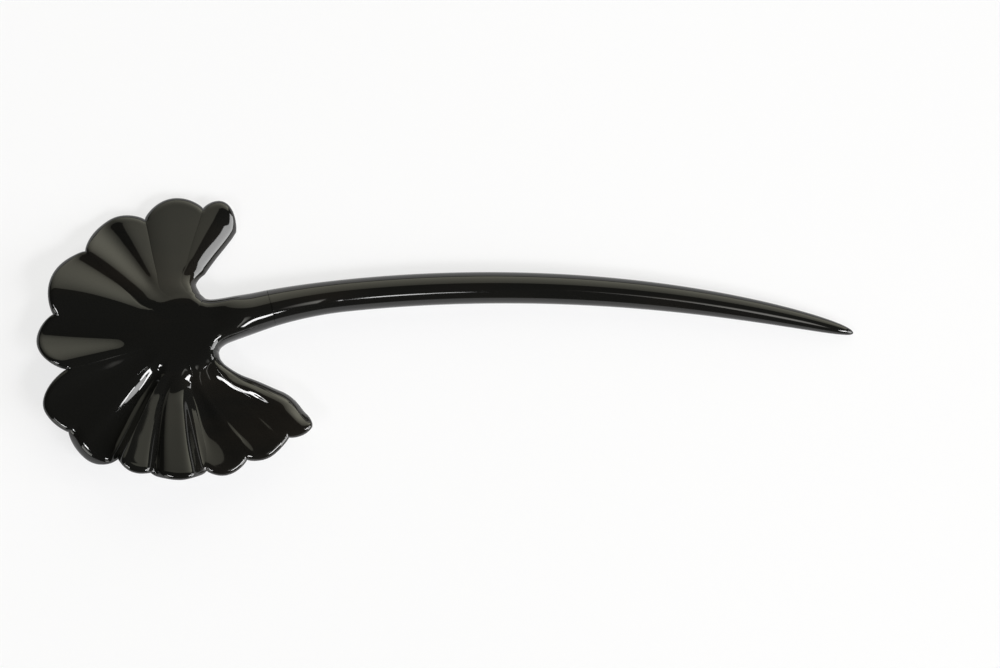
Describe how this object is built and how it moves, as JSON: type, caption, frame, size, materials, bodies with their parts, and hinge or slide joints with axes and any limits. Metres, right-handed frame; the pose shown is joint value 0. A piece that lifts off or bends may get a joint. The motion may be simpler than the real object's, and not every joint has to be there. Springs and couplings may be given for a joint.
{
  "type": "hair pin",
  "caption": "Curved, tapering hair pin in polished black horn, with a fluted ginkgo-leaf head on a rounded neck.",
  "frame": {"origin": "centre of the flat pad behind the leaf's hub, on the surface the pin lies on", "axes": "+X from the leaf's hub to the tip of the pin, +Z out of the leaf's front face, +Y completing a right-handed set, towards the side that the pin arches to"},
  "size_m": [0.1631, 0.0584, 0.0098],
  "materials": {
    "leaf_horn": "polished black horn",
    "pin_horn": "polished black horn",
    "glue": "cured clear-amber adhesive"
  },
  "bodies": {
    "root": {"leaf_head": "leaf_horn", "pin_shaft": "pin_horn", "tenon_glue": "glue"}
  },
  "joints": []
}
